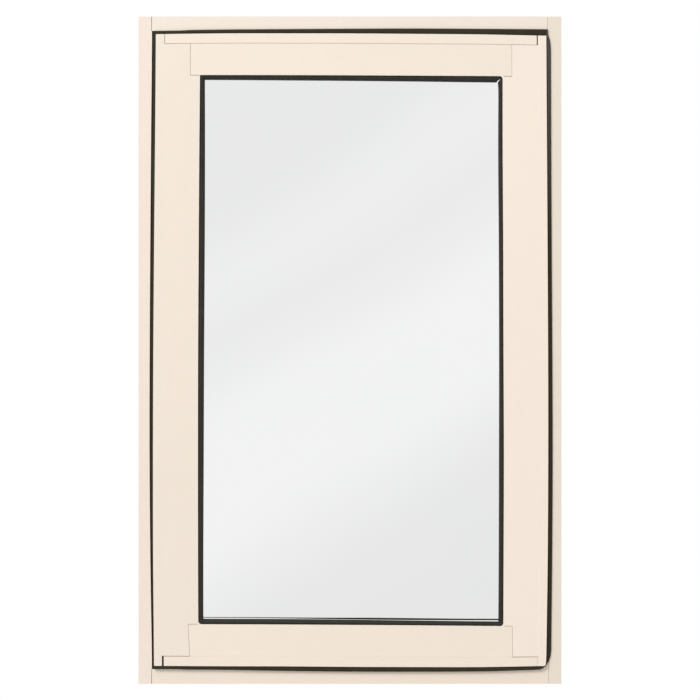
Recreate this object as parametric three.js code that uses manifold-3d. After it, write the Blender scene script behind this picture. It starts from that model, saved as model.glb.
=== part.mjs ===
// Hanging wall cabinet with an inset, framed mirror door on two concealed pivots.
// Millimetres. +X right, +Y into the wall, +Z up, seen from the front.
// The origin is the middle of the wall cleat's back face, on the wall's surface.

import * as THREE from "three";
import { mergeVertices } from "three/addons/utils/BufferGeometryUtils.js";
import Module from "manifold-3d";

const wasm = await Module();
wasm.setup();

// ---- Driving dimensions ----

const fit = 0.3; // gap kept between pieces that touch

// Carcass
const cabinetWidth = 600;
const cabinetHeight = 947;
const carcassDepth = 170;
const boardThickness = 18;
const topAboveCleat = 70; // from the origin up to the cabinet's top
const grooveDepth = 6;
const backThickness = 6;

// Hanging
const cleatThickness = 18;
const wallCleatWidth = 460;
const wallCleatHeight = 50;
const battenHeight = 50;
const wallScrewSpacing = 360;
const wallScrewRadius = 2.6;
const wallScrewHeadRadius = 5;

// Shelves
const shelfThickness = 16;
const shelfFrontSetback = 32; // behind the carcass front, clear of the door's hinge edge
const shelfBackGap = 2.7;
const shelfEndGap = 2.5;
const pinPitch = 32;
const shelfPinSteps = [7, 14, 21]; // the holes that hold the shelves, counted in pitches from the bottom
const holesEachWay = 2; // spare holes above and below each shelf
const pinRowFront = 55; // behind the carcass front
const pinRowBack = 120;
const pinRadius = 2.2;
const pinHoleRadius = 2.5;
const pinHoleDepth = 9;
const pinCollarRadius = 3.1;
const pinCollarLength = 1.6;
const pinUnderShelf = 8;

// Door
const hingeGap = 5;
const openingGap = 3;
const endGap = 6.5; // above and below the door
const doorProud = 5; // how far the door stands in front of the carcass
const doorThickness = 22;
const stileWidth = 63;
const railHeight = 59;
const lipWidth = 13.5; // raised border round the door
const mainFaceDrop = 0.7; // how far the main face lies behind the border
const innerFacetWidth = 12.5; // on the stiles only
const innerFacetDrop = 1.3;
const tenonLength = 28;
const tenonHeight = 28;
const tenonThickness = 7;
const stepSlope = 0.4; // width of the sloping steps between the door's faces

// Mirror and what holds it, as depths behind the door's front face
const rebateWidth = 9;
const rebateStart = 7;
const gasketCover = 7; // gasket that shows on the mirror
const gasketFlange = 1.7;
const gasketFront = 2.5;
const gasketRounding = 3; // how much of its inner edge slopes
const paneClearance = 1; // round the mirror in its rebate
const mirrorThickness = 4;
const backingThickness = 3;
const beadWidth = 12;
const beadBevel = 3;

// Pivots
const pivotFromEdge = 18; // from the door's hinge edge
const pivotBehindFront = 10; // behind the door's front face
const pivotPinRadius = 2;
const pivotPinReach = 12; // into the door
const bushRadius = 4;
const bushBore = 2.2;
const bushLength = 14;
const plateThickness = 3;
const plateWidth = 14;
const plateFrontEdge = 3.7; // in front of the pivot
const plateShortEnd = 12;
const plateLongEnd = 28;
const plateScrewRadius = 1.6;
const plateScrewPlaces = [10, 22]; // from the pivot
const plateScrewLine = 3; // behind the pivot
const thrustCollarRadius = 3.8;

// Push latches
const latchFromEnd = 70; // from the inside of the top or bottom panel
const latchWidth = 16;
const latchHeight = 26;
const latchLength = 44;
const latchFrontGap = 7; // from the door's back to the housing
const latchBore = 4;
const latchBoreDepth = 40;
const latchScrewRadius = 1.5;
const latchScrewEdge = 3.5; // from the housing's top and bottom
const plungerRadius = 3.7;
const plungerTipRadius = 3.2;
const plungerTipLength = 3;
const plungerLength = 26;
const springWireRadius = 0.45;
const springRadius = 2.9;
const springTurns = 6;
const strikeWidth = 16;
const strikeHeight = 30;
const strikeThickness = 1.2;

// Door seal
const sealEdgeGap = 0.4; // left between the seal and the carcass
const sealFront = 0.5; // behind the door's front face, above and below the door
const sealDepth = 5;
const hingeSealStart = 8; // behind the door's front face, out of the way of the swing
const hingeSealDepth = 10;
const sealOverFace = 3; // how far the opening side's seal laps over the side panel
const openingSealFront = 1;
const openingSealBack = 14;

// ---- Places worked out from them ----

const left = -cabinetWidth / 2;
const right = cabinetWidth / 2;
const top = topAboveCleat;
const bottom = top - cabinetHeight;
const front = -carcassDepth;
const innerLeft = left + boardThickness;
const innerRight = right - boardThickness;
const innerTop = top - boardThickness;
const innerBottom = bottom + boardThickness;

const doorWidth = innerRight - innerLeft - hingeGap - openingGap;
const doorHeight = innerTop - innerBottom - 2 * endGap;
const doorCentre = [
  innerLeft + hingeGap + doorWidth / 2,
  front - doorProud,
  (innerTop + innerBottom) / 2,
];
const halfDoorWidth = doorWidth / 2;
const halfDoorHeight = doorHeight / 2;
const halfSightWidth = halfDoorWidth - stileWidth;
const halfSightHeight = halfDoorHeight - railHeight;
const halfRebateWidth = halfSightWidth + rebateWidth;
const halfRebateHeight = halfSightHeight + rebateWidth;
const pivotX = doorCentre[0] - halfDoorWidth + pivotFromEdge;
const pivotY = doorCentre[1] + pivotBehindFront;
const doorBack = doorCentre[1] + doorThickness;

const backPanelFront = -cleatThickness - fit - backThickness;
const backPanelBack = -cleatThickness - fit;

// ---- Materials ----

function material(color, roughness, metalness = 0) {
  return new THREE.MeshStandardMaterial({ color, roughness, metalness });
}

const creamPaint = () => material(0xf3e7d9, 0.5);
const bareWood = () => material(0xd9bf94, 0.8);
const whiteBoard = () => material(0xece7dd, 0.7);
const blackRubber = () => material(0x33302a, 0.6);
const silverMirror = () => material(0xeef0f0, 0.03, 1);
const steel = () => material(0xb8b8b4, 0.35, 1);
const greyPlastic = () => material(0x8c8d8e, 0.5);
const whiteNylon = () => material(0xe6e4dc, 0.45);

// ---- Shape helpers ----

// A closed geometry as a solid that can be joined and cut.
function solid(geometry) {
  const bare = geometry.index ? geometry.toNonIndexed() : geometry.clone();
  bare.deleteAttribute("normal");
  bare.deleteAttribute("uv");
  const merged = mergeVertices(bare, 1e-4);
  return new wasm.Manifold(
    new wasm.Mesh({
      numProp: 3,
      vertProperties: merged.attributes.position.array,
      triVerts: new Uint32Array(merged.index.array),
    }),
  );
}

function geometryOf(body) {
  const mesh = body.getMesh();
  const geometry = new THREE.BufferGeometry();
  geometry.setAttribute("position", new THREE.BufferAttribute(mesh.vertProperties, 3));
  geometry.setIndex(new THREE.BufferAttribute(mesh.triVerts, 1));
  geometry.computeVertexNormals();
  return geometry;
}

function cut(geometry, ...tools) {
  return geometryOf(tools.reduce((body, tool) => body.subtract(solid(tool)), solid(geometry)));
}

function join(geometry, ...others) {
  return geometryOf(others.reduce((body, other) => body.add(solid(other)), solid(geometry)));
}

function common(geometry, other) {
  return geometryOf(solid(geometry).intersect(solid(other)));
}

// A rectangular block between its lowest and highest corners.
function block(low, high) {
  const size = high.map((value, i) => value - low[i]);
  const middle = high.map((value, i) => (value + low[i]) / 2);
  return new THREE.BoxGeometry(...size).translate(...middle);
}

// Two numbers, the lower one first.
function ordered(a, b) {
  return a < b ? [a, b] : [b, a];
}

function grown(low, high, by) {
  return block(
    low.map((value) => value - by),
    high.map((value) => value + by),
  );
}

// An outline of (x, y) points run from one height to another.
function runUp(outline, zLow, zHigh) {
  const shape = new THREE.Shape(outline.map(([x, y]) => new THREE.Vector2(x, y)));
  return new THREE.ExtrudeGeometry(shape, { depth: zHigh - zLow, bevelEnabled: false }).translate(
    0,
    0,
    zLow,
  );
}

// An outline of (z, y) points run from left to right.
function runAcross(outline, xLow, xHigh) {
  const shape = new THREE.Shape(outline.map(([z, y]) => new THREE.Vector2(-z, y)));
  return new THREE.ExtrudeGeometry(shape, { depth: xHigh - xLow, bevelEnabled: false })
    .rotateY(Math.PI / 2)
    .translate(xLow, 0, 0);
}

// An outline of (x, z) points run from front to back.
function runBack(outline, yLow, yHigh) {
  const shape = new THREE.Shape(outline.map(([x, z]) => new THREE.Vector2(x, z)));
  return new THREE.ExtrudeGeometry(shape, { depth: yHigh - yLow, bevelEnabled: false })
    .rotateX(Math.PI / 2)
    .translate(0, yHigh, 0);
}

// A profile of (radius, height) points turned round the Z axis.
function turned(profile, sides) {
  const points = profile.map(([r, h]) => new THREE.Vector2(r, h));
  return new THREE.LatheGeometry(points, sides).rotateX(Math.PI / 2);
}

// A round bar between two heights on a vertical axis, for drilling.
function upright(radius, x, y, zLow, zHigh, sides) {
  return new THREE.CylinderGeometry(radius, radius, zHigh - zLow, sides)
    .rotateX(Math.PI / 2)
    .translate(x, y, (zLow + zHigh) / 2);
}

// A round bar along X, for drilling.
function crosswise(radius, y, z, xLow, xHigh, sides) {
  return new THREE.CylinderGeometry(radius, radius, xHigh - xLow, sides)
    .rotateZ(Math.PI / 2)
    .translate((xLow + xHigh) / 2, y, z);
}

// A round bar, or a cone, along Y: the first radius is at the front.
function inward(frontRadius, backRadius, x, z, yLow, yHigh, sides) {
  return new THREE.CylinderGeometry(backRadius, frontRadius, yHigh - yLow, sides).translate(
    x,
    (yLow + yHigh) / 2,
    z,
  );
}

// One of four strips round a rectangle, with mitred ends.
// The section's points are (inset from the rectangle's edge, depth behind the door's front).
function mitredStrip(section, side, halfWidth, halfHeight) {
  const reach = 40; // past the corner, for the cutting outline
  const slit = (fit / 2) * Math.SQRT2; // half the gap at a mitre, measured along the strip
  const vertical = side === "left" || side === "right";
  const sign = side === "left" || side === "bottom" ? -1 : 1;
  const across = vertical ? halfWidth : halfHeight;
  const along = vertical ? halfHeight : halfWidth;
  const outline = section.map(([inset, depth]) => [sign * (across - inset), depth]);
  const run = vertical ? runUp : runAcross;
  const whole = run(outline, -along - reach, along + reach);
  const wedge = [
    [along + reach - slit, across + reach],
    [-(along + reach - slit), across + reach],
    [-(along - reach - slit), across - reach],
    [along - reach - slit, across - reach],
  ].map(([a, b]) => (vertical ? [sign * b, a] : [a, sign * b]));
  return common(whole, runBack(wedge, -doorThickness, 2 * doorThickness));
}

// ---- Scene helpers ----

// Adds a piece under its own name, with its position at the middle of its box.
function place(parent, name, geometry, finish) {
  geometry.computeBoundingBox();
  const middle = geometry.boundingBox.getCenter(new THREE.Vector3());
  geometry.translate(-middle.x, -middle.y, -middle.z);
  const mesh = new THREE.Mesh(geometry, finish);
  mesh.name = name;
  mesh.position.copy(middle);
  parent.add(mesh);
  return mesh;
}

function groupAt(parent, x, y, z) {
  const group = new THREE.Group();
  group.position.set(x, y, z);
  parent.add(group);
  return group;
}

// ---- Carcass ----

function pinHoleHeights() {
  const heights = [];
  for (const step of shelfPinSteps) {
    for (let k = -holesEachWay; k <= holesEachWay; k += 1) {
      heights.push(innerBottom + (step + k) * pinPitch);
    }
  }
  return heights;
}

function sidePanel(sign) {
  const outer = (sign * cabinetWidth) / 2;
  const inner = outer - sign * boardThickness;
  const xs = ordered(outer, inner);
  const board = block([xs[0], front, bottom], [xs[1], 0, top]);
  const grooveXs = ordered(inner - sign, inner + sign * grooveDepth);
  const groove = block(
    [grooveXs[0], backPanelFront - fit, innerBottom - grooveDepth],
    [grooveXs[1], backPanelBack + fit, innerTop + grooveDepth],
  );
  const holeXs = ordered(inner - sign, inner + sign * pinHoleDepth);
  const holes = [];
  for (const z of pinHoleHeights()) {
    for (const row of [pinRowFront, pinRowBack]) {
      holes.push(crosswise(pinHoleRadius, front + row, z, holeXs[0], holeXs[1], 8));
    }
  }
  return cut(board, groove, ...holes);
}

// The top panel, or the bottom one turned over: sign is +1 for the top.
function endPanel(sign) {
  const inner = sign > 0 ? innerTop : innerBottom;
  const outer = sign > 0 ? top : bottom;
  const boardZ = ordered(inner, outer);
  const grooveZ = ordered(inner - sign, inner + sign * grooveDepth);
  const recessZ = ordered(inner - sign, inner + sign * (plateThickness + fit));
  const board = block([innerLeft + fit, front, boardZ[0]], [innerRight - fit, 0, boardZ[1]]);
  const groove = block(
    [left, backPanelFront - fit, grooveZ[0]],
    [right, backPanelBack + fit, grooveZ[1]],
  );
  const recess = block(
    [pivotX - plateShortEnd - fit, pivotY - plateFrontEdge - fit, recessZ[0]],
    [pivotX + plateLongEnd + fit, pivotY - plateFrontEdge + plateWidth + fit, recessZ[1]],
  );
  return cut(board, groove, recess);
}

function addCarcass(parent) {
  place(parent, "side_panel_left", sidePanel(-1), creamPaint());
  place(parent, "side_panel_right", sidePanel(1), creamPaint());
  place(parent, "top_panel", endPanel(1), creamPaint());
  place(parent, "bottom_panel", endPanel(-1), creamPaint());
  const inGroove = grooveDepth - fit;
  const back = block(
    [innerLeft - inGroove, backPanelFront, innerBottom - inGroove],
    [innerRight + inGroove, backPanelBack, innerTop + inGroove],
  );
  place(parent, "back_panel", back, whiteBoard());
}

// ---- Hanging: two bevelled cleats and a batten ----

function addHanging(parent) {
  const half = wallCleatHeight / 2;
  const bevelFoot = half - cleatThickness;
  const wallSection = [
    [-half, 0],
    [-half, -cleatThickness],
    [half, -cleatThickness],
    [bevelFoot, 0],
  ];
  const wallCleat = runAcross(wallSection, -wallCleatWidth / 2, wallCleatWidth / 2);
  const screwHoles = [];
  for (const x of [-wallScrewSpacing / 2, wallScrewSpacing / 2]) {
    screwHoles.push(inward(wallScrewRadius, wallScrewRadius, x, 0, -cleatThickness - 1, 1, 12));
    screwHoles.push(
      inward(
        wallScrewHeadRadius,
        wallScrewRadius,
        x,
        0,
        -cleatThickness - fit,
        -cleatThickness + wallScrewHeadRadius - wallScrewRadius,
        12,
      ),
    );
  }
  place(parent, "wall_cleat", cut(wallCleat, ...screwHoles), bareWood());

  const slack = fit * Math.SQRT2;
  const cabinetSection = [
    [innerTop - fit, 0],
    [bevelFoot + slack, 0],
    [half + slack, -cleatThickness],
    [innerTop - fit, -cleatThickness],
  ];
  const cabinetCleat = runAcross(cabinetSection, innerLeft + fit, innerRight - fit);
  place(parent, "cabinet_cleat", cabinetCleat, bareWood());

  const batten = block(
    [innerLeft + fit, -cleatThickness, innerBottom + fit],
    [innerRight - fit, 0, innerBottom + fit + battenHeight],
  );
  place(parent, "lower_batten", batten, bareWood());
}

// ---- Shelves on pins ----

// Lies along +X from the panel's face: a peg in the hole, a collar and a peg under the shelf.
function shelfPin() {
  const inHole = pinHoleDepth - 1;
  const collarEnd = fit + pinCollarLength;
  const profile = [
    [0, -inHole],
    [pinRadius, -inHole],
    [pinRadius, fit],
    [pinCollarRadius, fit],
    [pinCollarRadius, collarEnd],
    [pinRadius, collarEnd],
    [pinRadius, collarEnd + pinUnderShelf],
    [0, collarEnd + pinUnderShelf],
  ];
  return turned(profile, 10).rotateY(Math.PI / 2);
}

function addShelves(parent) {
  const names = ["lower", "middle", "upper"];
  const rows = { front: front + pinRowFront, back: front + pinRowBack };
  names.forEach((name, i) => {
    const pinZ = innerBottom + shelfPinSteps[i] * pinPitch;
    const shelfZ = pinZ + pinRadius + fit;
    const shelf = block(
      [innerLeft + shelfEndGap, front + shelfFrontSetback, shelfZ],
      [innerRight - shelfEndGap, backPanelFront - shelfBackGap, shelfZ + shelfThickness],
    );
    place(parent, `shelf_${name}`, shelf, creamPaint());
    for (const [row, y] of Object.entries(rows)) {
      const leftPin = new THREE.Mesh(shelfPin(), steel());
      leftPin.name = `shelf_pin_${name}_left_${row}`;
      leftPin.position.set(innerLeft, y, pinZ);
      const rightPin = new THREE.Mesh(shelfPin(), steel());
      rightPin.name = `shelf_pin_${name}_right_${row}`;
      rightPin.position.set(innerRight, y, pinZ);
      rightPin.rotation.z = Math.PI;
      parent.add(leftPin, rightPin);
    }
  });
}

// ---- Pivots, one at the top and one at the bottom ----

// Built as the lower one, in a frame whose Z = 0 is the panel's inner face, with +Z into the opening.
function addPivot(parent, name, carriesDoor) {
  const plate = cut(
    block(
      [-plateShortEnd, -plateFrontEdge, -plateThickness],
      [plateLongEnd, plateWidth - plateFrontEdge, 0],
    ),
    upright(pivotPinRadius + fit, 0, 0, -plateThickness - 1, 1, 24),
    ...plateScrewPlaces.map((x) =>
      upright(plateScrewRadius, x, plateScrewLine, -plateThickness - 1, 1, 12),
    ),
  );
  place(parent, `${name}_pivot_plate`, plate, steel());

  const collar = [
    [pivotPinRadius, fit],
    [thrustCollarRadius, fit],
    [thrustCollarRadius, endGap - fit],
    [pivotPinRadius, endGap - fit],
  ];
  const pin = [
    [0, -plateThickness],
    [pivotPinRadius, -plateThickness],
    ...(carriesDoor ? collar : []),
    [pivotPinRadius, endGap + pivotPinReach],
    [0, endGap + pivotPinReach],
  ];
  place(parent, `${name}_pivot_pin`, turned(pin, 24), steel());
}

function addPivots(parent) {
  const lower = groupAt(parent, pivotX, pivotY, innerBottom);
  addPivot(lower, "lower", true);
  const upper = groupAt(parent, pivotX, pivotY, innerTop);
  upper.scale.z = -1;
  addPivot(upper, "upper", false);
}

// ---- Push latches on the opening side ----

function springCoil(length) {
  const points = [];
  const stepsPerTurn = 10;
  const run = length - 2 * springWireRadius;
  for (let i = 0; i <= springTurns * stepsPerTurn; i += 1) {
    const turn = i / stepsPerTurn;
    const angle = 2 * Math.PI * turn;
    points.push(
      new THREE.Vector3(
        springRadius * Math.cos(angle),
        springWireRadius + (run * turn) / springTurns,
        springRadius * Math.sin(angle),
      ),
    );
  }
  const wire = new THREE.Shape(
    [0, 1, 2, 3, 4, 5].map((k) => {
      const a = (Math.PI / 3) * k;
      return new THREE.Vector2(springWireRadius * Math.cos(a), springWireRadius * Math.sin(a));
    }),
  );
  return new THREE.ExtrudeGeometry(wire, {
    steps: springTurns * stepsPerTurn,
    bevelEnabled: false,
    extrudePath: new THREE.CatmullRomCurve3(points),
  });
}

// In a frame whose origin is on the plunger's axis, in the plane of the housing's mouth.
function addLatch(parent, name) {
  const halfWidth = latchWidth / 2;
  const halfHeight = latchHeight / 2;
  const screwZ = halfHeight - latchScrewEdge;
  const housing = cut(
    block([-halfWidth, 0, -halfHeight], [halfWidth, latchLength, halfHeight]),
    inward(latchBore, latchBore, 0, 0, -1, latchBoreDepth, 24),
    ...[-screwZ, screwZ].map((z) =>
      crosswise(latchScrewRadius, latchLength / 2, z, -halfWidth - 1, halfWidth + 1, 10),
    ),
  );
  place(parent, `${name}_latch_housing`, housing, greyPlastic());

  const tip = -(latchFrontGap - strikeThickness - 2 * fit);
  const plunger = turned(
    [
      [0, 0],
      [plungerTipRadius, 0],
      [plungerTipRadius, plungerTipLength],
      [plungerRadius, plungerTipLength],
      [plungerRadius, plungerLength],
      [0, plungerLength],
    ],
    24,
  )
    .rotateX(-Math.PI / 2)
    .translate(0, tip, 0);
  place(parent, `${name}_latch_plunger`, plunger, steel());

  const springStart = tip + plungerLength + fit;
  const spring = springCoil(latchBoreDepth - fit - springStart).translate(0, springStart, 0);
  place(parent, `${name}_latch_spring`, spring, steel());
}

function addLatches(parent) {
  const x = innerRight - fit - latchWidth / 2;
  const y = doorBack + latchFrontGap;
  addLatch(groupAt(parent, x, y, innerTop - latchFromEnd), "upper");
  addLatch(groupAt(parent, x, y, innerBottom + latchFromEnd), "lower");
}

// ---- Door: frame ----

// All door pieces: X and Z from the door's middle, Y back from its front face.

const lipEnd = halfDoorWidth - lipWidth - fit; // where the rails' border part ends
const mainEnd = halfDoorWidth - stileWidth + innerFacetWidth - fit; // where their main part ends
const lipFoot = halfDoorHeight - lipWidth;

function rebate() {
  return block(
    [-halfRebateWidth, rebateStart, -halfRebateHeight],
    [halfRebateWidth, doorThickness + 1, halfRebateHeight],
  );
}

// The hole for a pivot bush, bored into the top or bottom edge near the hinge side.
function bushHole(endSign) {
  const mouth = endSign * (halfDoorHeight + 1);
  const floor = endSign * (halfDoorHeight - bushLength - fit);
  const x = -halfDoorWidth + pivotFromEdge;
  const [zLow, zHigh] = ordered(mouth, floor);
  return upright(bushRadius + fit, x, pivotBehindFront, zLow, zHigh, 24);
}

function tenon(sideSign, endSign, by) {
  const xs = ordered(sideSign * (mainEnd - 1), sideSign * (mainEnd + tenonLength));
  const inner = halfRebateHeight + 1;
  const zs = ordered(endSign * inner, endSign * (inner + tenonHeight));
  const depth = rebateStart + 1;
  return grown([xs[0], depth, zs[0]], [xs[1], depth + tenonThickness, zs[1]], by);
}

function rail(endSign) {
  const outer = halfDoorHeight;
  const border = [
    [outer, 0],
    [lipFoot, 0],
    [lipFoot, doorThickness],
    [outer, doorThickness],
  ];
  const whole = [
    [outer, 0],
    [lipFoot + stepSlope, 0],
    [lipFoot, mainFaceDrop],
    [halfSightHeight, mainFaceDrop],
    [halfSightHeight, doorThickness],
    [outer, doorThickness],
  ];
  const towardsEnd = (outline) => outline.map(([z, y]) => [endSign * z, y]);
  return cut(
    join(
      runAcross(towardsEnd(whole), -mainEnd, mainEnd),
      runAcross(towardsEnd(border), -lipEnd, lipEnd),
      tenon(-1, endSign, 0),
      tenon(1, endSign, 0),
    ),
    rebate(),
    bushHole(endSign),
  );
}

function stile(sideSign) {
  const lipInner = halfDoorWidth - lipWidth;
  const facetOuter = halfSightWidth + innerFacetWidth;
  const outline = [
    [halfDoorWidth, 0],
    [halfDoorWidth, doorThickness],
    [halfSightWidth, doorThickness],
    [halfSightWidth, innerFacetDrop],
    [facetOuter - stepSlope, innerFacetDrop],
    [facetOuter, mainFaceDrop],
    [lipInner - stepSlope, mainFaceDrop],
    [lipInner, 0],
  ].map(([x, y]) => [sideSign * x, y]);
  const board = runUp(outline, -halfDoorHeight, halfDoorHeight);
  const tools = [rebate()];
  for (const endSign of [-1, 1]) {
    const beyond = halfDoorHeight + 1;
    const lipZ = ordered(endSign * (lipFoot - fit), endSign * beyond);
    const mainZ = ordered(endSign * (halfSightHeight - fit), endSign * beyond);
    const lipX = ordered(sideSign * (lipEnd + fit), 0);
    const mainX = ordered(sideSign * (mainEnd + fit), 0);
    tools.push(block([lipX[0], -1, lipZ[0]], [lipX[1], doorThickness + 1, lipZ[1]]));
    tools.push(block([mainX[0], -1, mainZ[0]], [mainX[1], doorThickness + 1, mainZ[1]]));
    tools.push(tenon(sideSign, endSign, fit));
    if (sideSign < 0) tools.push(bushHole(endSign));
  }
  return cut(board, ...tools);
}

function addDoorFrame(door) {
  place(door, "door_stile_left", stile(-1), creamPaint());
  place(door, "door_stile_right", stile(1), creamPaint());
  place(door, "door_rail_top", rail(1), creamPaint());
  place(door, "door_rail_bottom", rail(-1), creamPaint());
}

// ---- Door: mirror, gasket, backing board and beads ----

function addMirror(door) {
  const flangeStart = rebateStart + fit;
  const mirrorStart = flangeStart + gasketFlange + fit;
  const backingStart = mirrorStart + mirrorThickness + fit;
  const beadStart = backingStart + backingThickness + fit;
  const sides = ["left", "right", "top", "bottom"];

  const gasketSection = [
    [fit - rebateWidth, flangeStart],
    [fit - rebateWidth, flangeStart + gasketFlange],
    [gasketCover, flangeStart + gasketFlange],
    [gasketCover, gasketFront + 2],
    [gasketCover - gasketRounding, gasketFront],
    [fit, gasketFront],
    [fit, flangeStart],
  ];
  for (const side of sides) {
    const strip = mitredStrip(gasketSection, side, halfSightWidth, halfSightHeight);
    place(door, `glazing_gasket_${side}`, strip, blackRubber());
  }

  const x = halfRebateWidth - paneClearance;
  const z = halfRebateHeight - paneClearance;
  const pane = block([-x, mirrorStart, -z], [x, mirrorStart + mirrorThickness, z]);
  place(door, "mirror_pane", pane, silverMirror());
  const board = block([-x, backingStart, -z], [x, backingStart + backingThickness, z]);
  place(door, "backing_board", board, whiteBoard());

  const beadSection = [
    [fit, beadStart],
    [fit, doorThickness - fit],
    [beadWidth - beadBevel, doorThickness - fit],
    [beadWidth, beadStart + beadBevel / 2],
    [beadWidth, beadStart],
  ];
  for (const side of sides) {
    const strip = mitredStrip(beadSection, side, halfRebateWidth, halfRebateHeight);
    place(door, `retaining_bead_${side}`, strip, creamPaint());
  }
}

// ---- Door: rubber seal, bushes and strike plates ----

function addSeal(door) {
  const endReach = halfDoorHeight + endGap - sealEdgeGap;
  const hingeReach = halfDoorWidth + hingeGap - sealEdgeGap;
  const openingReach = halfDoorWidth + openingGap - sealEdgeGap;
  const lapReach = halfDoorWidth + openingGap + sealOverFace;

  const hingeSide = block(
    [-hingeReach, hingeSealStart, -endReach],
    [-halfDoorWidth - fit, hingeSealStart + hingeSealDepth, endReach],
  );
  place(door, "door_seal_left", hingeSide, blackRubber());

  const openingSection = [
    [halfDoorWidth + fit, openingSealFront],
    [lapReach, openingSealFront],
    [lapReach, doorProud - fit],
    [openingReach, doorProud - fit],
    [openingReach, openingSealBack],
    [halfDoorWidth + fit, openingSealBack],
  ];
  const openingSide = runUp(openingSection, -endReach, endReach);
  place(door, "door_seal_right", openingSide, blackRubber());

  for (const [name, sign] of [
    ["top", 1],
    ["bottom", -1],
  ]) {
    const zs = ordered(sign * (halfDoorHeight + fit), sign * endReach);
    const strip = block(
      [-halfDoorWidth, sealFront, zs[0]],
      [halfDoorWidth, sealFront + sealDepth, zs[1]],
    );
    place(door, `door_seal_${name}`, strip, blackRubber());
  }
}

function addDoorFittings(door) {
  const bush = [
    [bushBore, 0],
    [bushRadius, 0],
    [bushRadius, bushLength],
    [bushBore, bushLength],
    [bushBore, 0],
  ];
  const x = -halfDoorWidth + pivotFromEdge;
  for (const [name, z] of [
    ["upper", halfDoorHeight - bushLength],
    ["lower", -halfDoorHeight],
  ]) {
    const geometry = turned(bush, 24).translate(x, pivotBehindFront, z);
    place(door, `${name}_pivot_bush`, geometry, whiteNylon());
  }

  const strikeX = halfDoorWidth - 1 - strikeWidth;
  const strikeY = doorThickness + fit;
  const latchZ = halfDoorHeight + endGap - latchFromEnd;
  for (const [name, z] of [
    ["upper", latchZ],
    ["lower", -latchZ],
  ]) {
    const plate = block(
      [strikeX, strikeY, z - strikeHeight / 2],
      [strikeX + strikeWidth, strikeY + strikeThickness, z + strikeHeight / 2],
    );
    place(door, `${name}_strike_plate`, plate, steel());
  }
}

// ---- The whole cabinet ----

const cabinet = new THREE.Group();
addCarcass(cabinet);
addHanging(cabinet);
addShelves(cabinet);
addPivots(cabinet);
addLatches(cabinet);

const door = groupAt(cabinet, ...doorCentre);
addDoorFrame(door);
addMirror(door);
addSeal(door);
addDoorFittings(door);

export default cabinet;
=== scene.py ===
import math

import bmesh
import bpy
from mathutils import Matrix, Vector


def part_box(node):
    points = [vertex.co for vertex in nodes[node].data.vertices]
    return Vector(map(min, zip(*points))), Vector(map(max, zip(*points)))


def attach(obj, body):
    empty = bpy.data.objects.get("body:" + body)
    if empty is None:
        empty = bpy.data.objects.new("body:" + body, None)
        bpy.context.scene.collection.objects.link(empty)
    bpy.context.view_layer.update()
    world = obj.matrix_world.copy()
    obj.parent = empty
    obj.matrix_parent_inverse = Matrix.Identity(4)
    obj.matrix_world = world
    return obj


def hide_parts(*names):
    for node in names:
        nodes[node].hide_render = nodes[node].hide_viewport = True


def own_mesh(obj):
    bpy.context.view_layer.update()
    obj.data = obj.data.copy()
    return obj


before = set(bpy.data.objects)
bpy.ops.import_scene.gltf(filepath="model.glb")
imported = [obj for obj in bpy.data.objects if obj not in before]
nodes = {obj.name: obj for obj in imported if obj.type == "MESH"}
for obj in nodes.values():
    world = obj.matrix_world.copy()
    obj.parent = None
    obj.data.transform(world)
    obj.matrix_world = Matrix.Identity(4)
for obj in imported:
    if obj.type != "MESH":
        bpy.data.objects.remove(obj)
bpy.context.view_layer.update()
mm = 0.001  # pieces are worked in millimetres and scaled once, when a mesh is made


def boxOf(node):
    low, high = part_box(node)
    return low / mm, high / mm


# Places taken from the frame
sideLow, sideHigh = boxOf("side_panel_left")
carcassFront = sideLow.y
openLeft = sideHigh.x
openRight = boxOf("side_panel_right")[0].x
openTop = boxOf("top_panel")[0].z
openBottom = boxOf("bottom_panel")[1].z
leftStileBox = boxOf("door_stile_left")
rightStileBox = boxOf("door_stile_right")
doorLow = leftStileBox[0]
doorHigh = rightStileBox[1]
doorMid = (doorLow + doorHigh) / 2
sightLeft = leftStileBox[1].x
sightRight = rightStileBox[0].x
sightTop = boxOf("door_rail_top")[0].z
sightBottom = boxOf("door_rail_bottom")[1].z
pinBox = boxOf("lower_pivot_pin")
pivotX = (pinBox[0].x + pinBox[1].x) / 2
pivotY = (pinBox[0].y + pinBox[1].y) / 2


def strayAt(values, share):  # a smooth line through evenly spaced values
    place = min(max(share, 0.0), 1.0) * (len(values) - 1)
    i = min(int(place), len(values) - 2)
    f = place - i
    a, b = values[i], values[i + 1]
    before = values[i - 1] if i > 0 else a
    after = values[i + 2] if i + 2 < len(values) else b
    return 0.5 * (2 * a + (b - before) * f + (2 * before - 5 * a + 4 * b - after) * f * f
                  + (3 * a - before - 3 * b + after) * f ** 3)


def between(value, places, amounts):  # straight lines between places, level beyond the ends
    if value <= places[0]:
        return amounts[0]
    for i in range(len(places) - 1):
        if value <= places[i + 1]:
            f = (value - places[i]) / (places[i + 1] - places[i])
            return amounts[i] + f * (amounts[i + 1] - amounts[i])
    return amounts[-1]


def softStep(value):
    value = min(max(value, 0.0), 1.0)
    return value * value * (3 - 2 * value)


def steps(start, end, count):
    return [start + (end - start) * i / count for i in range(count + 1)]


def loft(bm, rings):  # closed body through rings of points
    made = [[bm.verts.new(p) for p in ring] for ring in rings]
    count = len(made[0])
    for a, b in zip(made, made[1:]):
        for i in range(count):
            j = (i + 1) % count
            bm.faces.new((a[i], a[j], b[j], b[i]))
    bm.faces.new(made[0][::-1])
    bm.faces.new(made[-1])


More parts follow.
